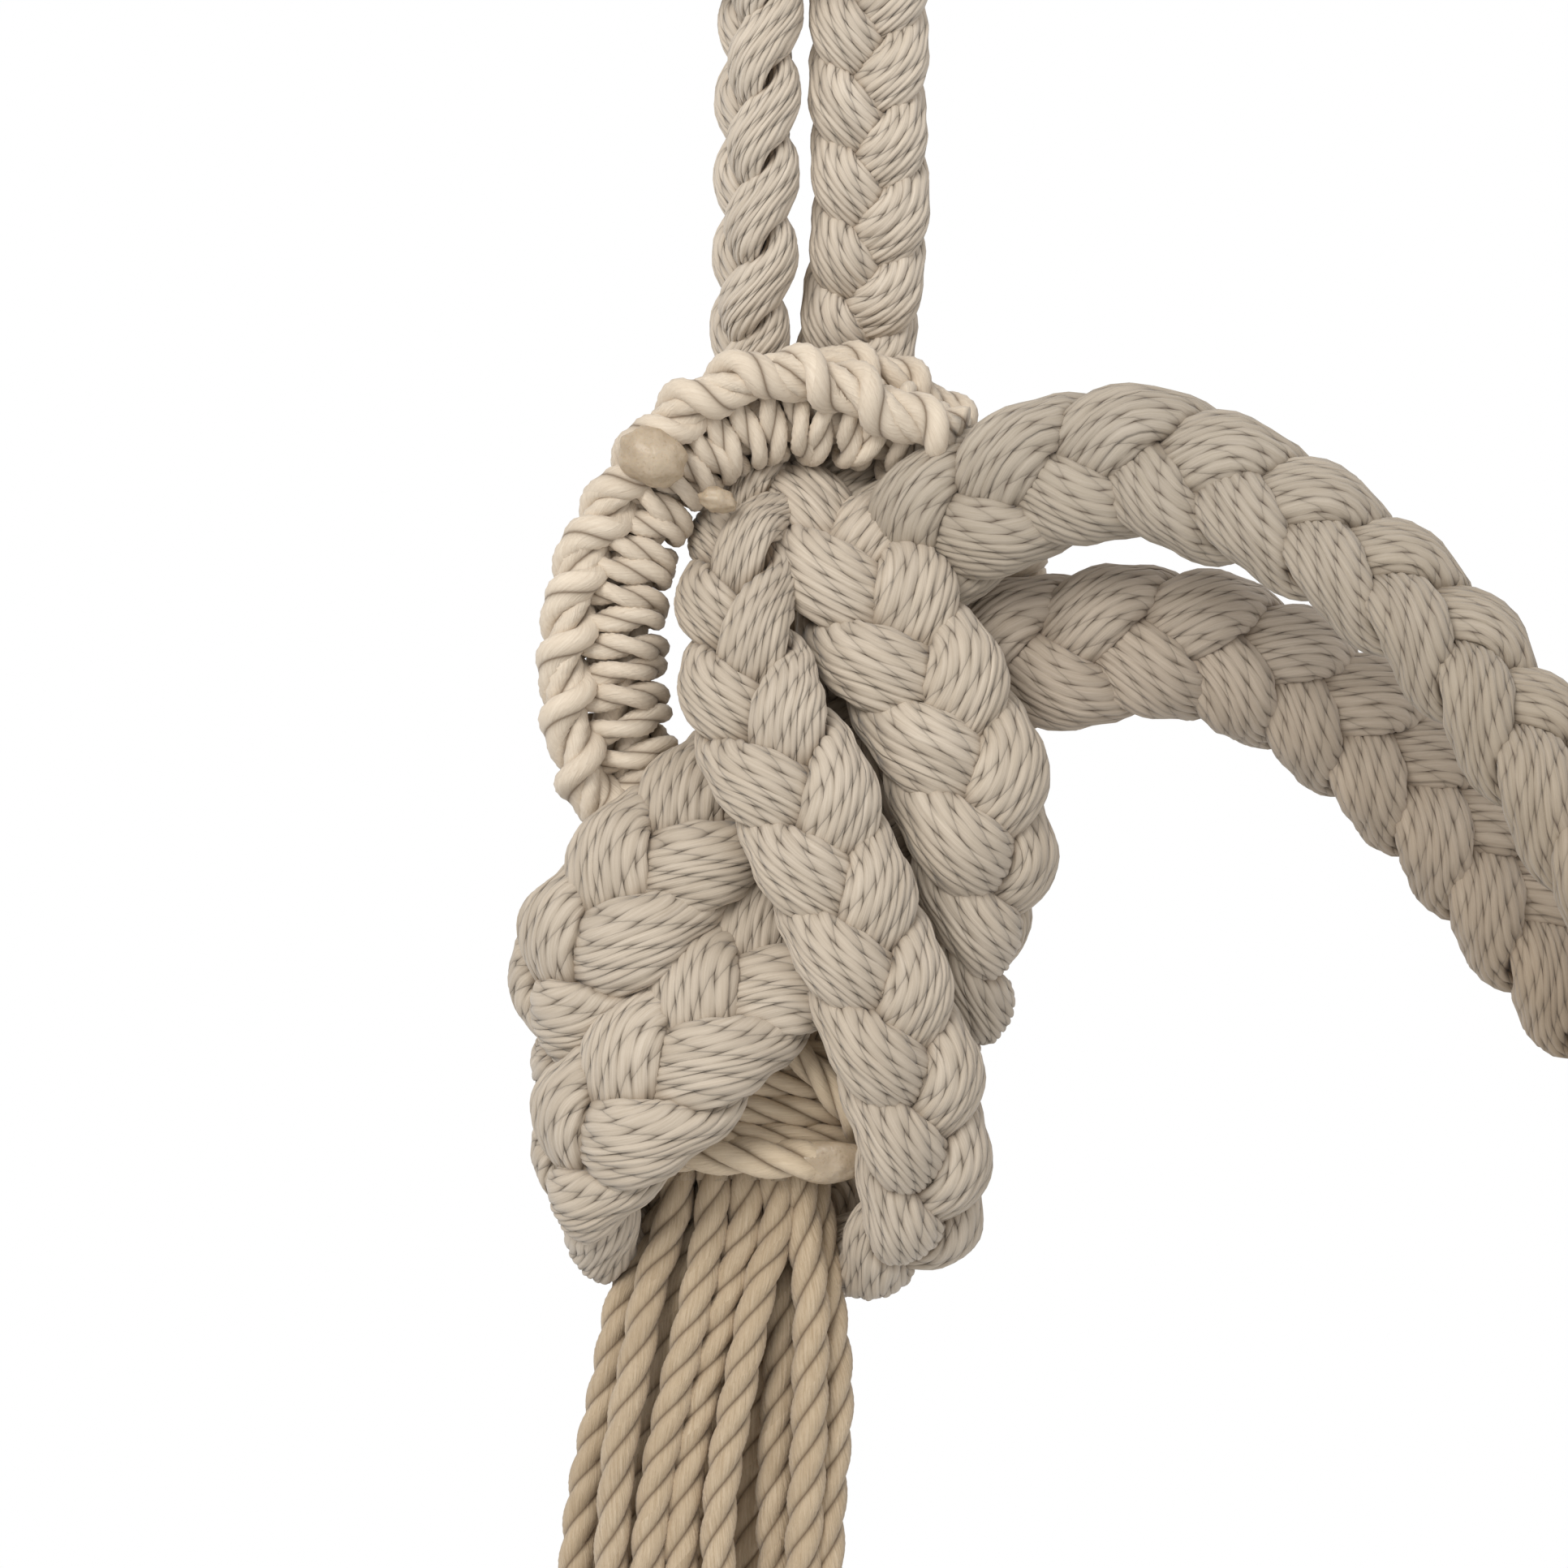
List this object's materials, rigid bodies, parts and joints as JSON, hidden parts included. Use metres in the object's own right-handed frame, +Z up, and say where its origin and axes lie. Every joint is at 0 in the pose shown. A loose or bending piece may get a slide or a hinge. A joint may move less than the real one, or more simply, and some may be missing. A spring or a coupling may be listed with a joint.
{
  "type": "hanging macrame planter",
  "caption": "Two-ended sling planter of braided cream cord: straps over a wooden dowel carry knotted gathers with tassels, and two braided arms between them cradle a pot.",
  "frame": {"origin": "inner top of the steel hanging ring, where a ceiling hook carries the planter", "axes": "+Z up, +X along the dowel to the viewer's right, the front faces -Y"},
  "size_m": [0.5048, 0.1288, 0.5507],
  "materials": {
    "cream_cord": "soft twisted synthetic yarn, slight sheen",
    "warm_cord": "three-ply cord, warmer cream",
    "dowel_wood": "oiled light hardwood",
    "ring_steel": "satin"
  },
  "bodies": {
    "ring": {"hanging_ring": "ring_steel"},
    "hanger": {"ring_hitch": "cream_cord", "hanging_cord_left": "cream_cord", "hanging_cord_right": "cream_cord", "dowel_hitch_left": "cream_cord", "dowel_hitch_right": "cream_cord", "dowel": "dowel_wood", "dowel_knob_left": "dowel_wood", "dowel_knob_right": "dowel_wood"},
    "cradle": {"left_strap": "cream_cord", "left_strap_whipping": "cream_cord", "left_loop_core": "cream_cord", "left_loop_hitching": "cream_cord", "left_loop_ridge": "cream_cord", "left_front_braid": "cream_cord", "left_back_braid": "cream_cord", "left_lower_wrap": "cream_cord", "left_upper_wrap": "cream_cord", "left_neck_core": "warm_cord", "left_neck_wrap": "warm_cord", "right_strap": "cream_cord", "right_strap_whipping": "cream_cord", "right_loop_core": "cream_cord", "right_loop_hitching": "cream_cord", "right_loop_ridge": "cream_cord", "right_front_braid": "cream_cord", "right_back_braid": "cream_cord", "right_lower_wrap": "cream_cord", "right_upper_wrap": "cream_cord", "right_neck_core": "warm_cord", "right_neck_wrap": "warm_cord", "front_arm": "cream_cord", "back_arm": "cream_cord", "cradle_tie_left": "cream_cord", "cradle_tie_right": "cream_cord"},
    "left_tassel": {"left_tassel_cord_01": "warm_cord", "left_tassel_cord_02": "warm_cord", "left_tassel_cord_03": "warm_cord", "left_tassel_cord_04": "warm_cord", "left_tassel_cord_05": "warm_cord", "left_tassel_cord_06": "warm_cord", "left_tassel_cord_07": "warm_cord", "left_tassel_cord_08": "warm_cord", "left_tassel_cord_09": "warm_cord", "left_tassel_cord_10": "warm_cord", "left_tassel_cord_11": "warm_cord", "left_tassel_cord_12": "warm_cord"},
    "right_tassel": {"right_tassel_cord_01": "warm_cord", "right_tassel_cord_02": "warm_cord", "right_tassel_cord_03": "warm_cord", "right_tassel_cord_04": "warm_cord", "right_tassel_cord_05": "warm_cord", "right_tassel_cord_06": "warm_cord", "right_tassel_cord_07": "warm_cord", "right_tassel_cord_08": "warm_cord", "right_tassel_cord_09": "warm_cord", "right_tassel_cord_10": "warm_cord", "right_tassel_cord_11": "warm_cord", "right_tassel_cord_12": "warm_cord"}
  },
  "joints": [
    {"name": "hanger_swing", "type": "hinge", "parent": "ring", "child": "hanger", "pos_m": [0, 0, -0.041], "axis": [1, 0, 0], "range_deg": [-25, 25]},
    {"name": "strap_swing", "type": "hinge", "parent": "hanger", "child": "cradle", "pos_m": [0, 0, -0.2], "axis": [1, 0, 0], "range_deg": [-30, 30]},
    {"name": "left_tassel_swing", "type": "hinge", "parent": "cradle", "child": "left_tassel", "pos_m": [-0.193, 0.003, -0.438], "axis": [1, 0, 0], "range_deg": [-20, 3]},
    {"name": "right_tassel_swing", "type": "hinge", "parent": "cradle", "child": "right_tassel", "pos_m": [0.193, 0.003, -0.438], "axis": [1, 0, 0], "range_deg": [-20, 3]}
  ]
}
